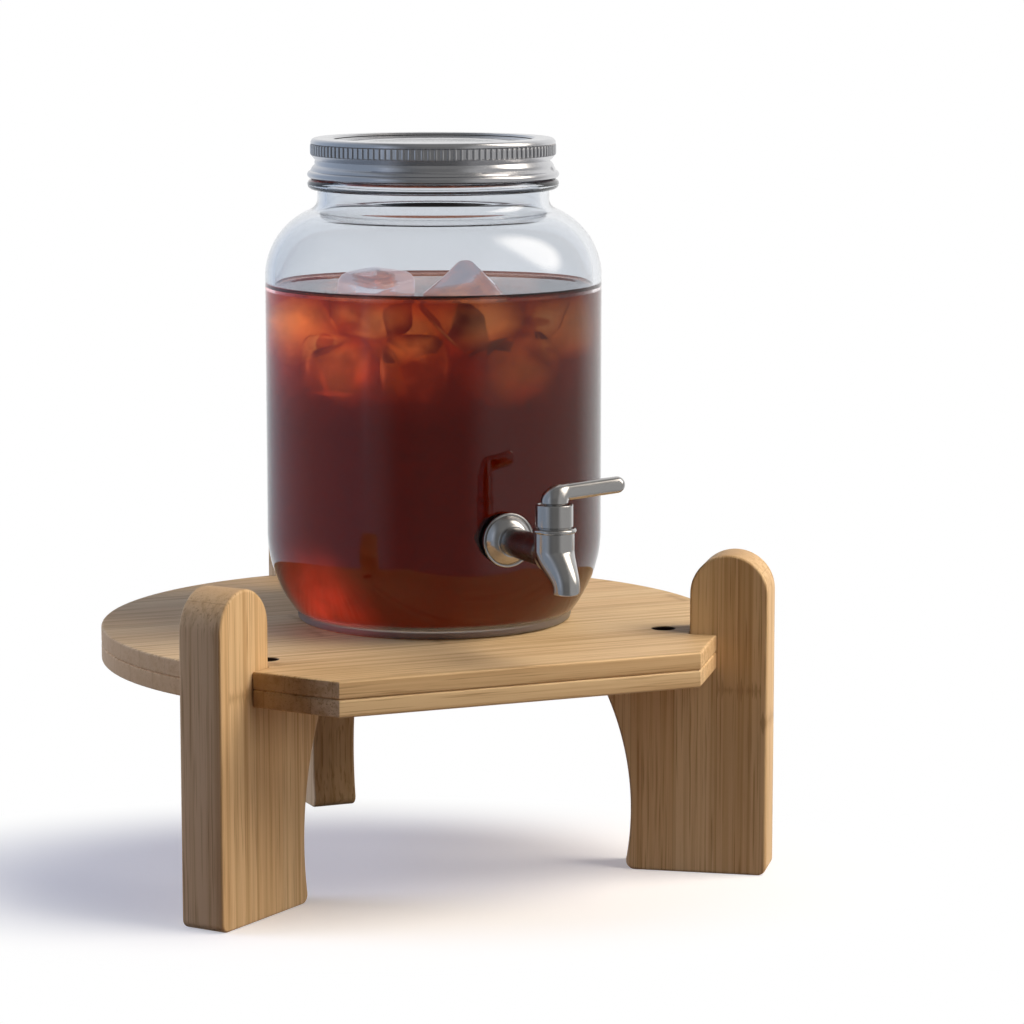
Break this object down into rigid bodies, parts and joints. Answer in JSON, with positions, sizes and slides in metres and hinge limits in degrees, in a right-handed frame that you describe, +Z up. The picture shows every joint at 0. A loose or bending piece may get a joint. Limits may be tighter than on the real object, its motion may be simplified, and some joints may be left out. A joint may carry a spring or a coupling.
{
  "type": "glass beverage dispenser",
  "caption": "Glass jar with a screw-band lid and a front lever tap, standing on a round bamboo plate whose tall legs leave room for a cup under the spout.",
  "frame": {"origin": "on the floor, under the middle of the whole dispenser's box", "axes": "+Z up, -Y to the front where the tap is, +X to the right seen from the front"},
  "size_m": [0.288, 0.3118, 0.3343],
  "materials": {
    "bamboo": "clear satin lacquer over laminated bamboo",
    "screw_steel": "dark zinc plated",
    "brass": "turned",
    "glass": "clear, blown",
    "tinplate": "satin, pressed and rolled",
    "liner": "moulded",
    "stainless": "satin polished",
    "silicone": "moulded",
    "slip_plastic": "turned, white"
  },
  "bodies": {
    "stand": {"plate_upper": "bamboo", "plate_lower": "bamboo", "leg_left": "bamboo", "leg_right": "bamboo", "leg_back": "bamboo", "plate_screws": "screw_steel", "threaded_inserts": "brass"},
    "jar": {"jar": "glass", "tap_body": "stainless", "tap_flange": "stainless", "outer_gasket": "silicone", "inner_gasket": "silicone", "clamp_washer": "stainless", "lock_nut": "stainless", "bonnet": "stainless", "stem_washer": "slip_plastic"},
    "lid": {"lid_disc": "tinplate", "lid_liner": "liner"},
    "band": {"screw_band": "tinplate"},
    "lever": {"lever": "stainless", "valve_plug": "stainless", "plug_o_rings": "silicone", "lever_screw": "screw_steel"}
  },
  "joints": [
    {"name": "jar_lift", "type": "slide", "parent": "stand", "child": "jar", "axis": [0, 0, 1], "range_m": [0, 0.06]},
    {"name": "lid_lift", "type": "slide", "parent": "jar", "child": "lid", "axis": [0, 0, 1], "range_m": [0, 0.06]},
    {"name": "band_turn", "type": "hinge", "parent": "lid", "child": "band", "pos_m": [0.012, -0.01059, 0.33], "axis": [0, 0, 1], "range_deg": [0, 360]},
    {"name": "lever_turn", "type": "hinge", "parent": "jar", "child": "lever", "pos_m": [0.01645, -0.13801, 0.18], "axis": [0, 0, 1], "range_deg": [-90, 0]}
  ]
}
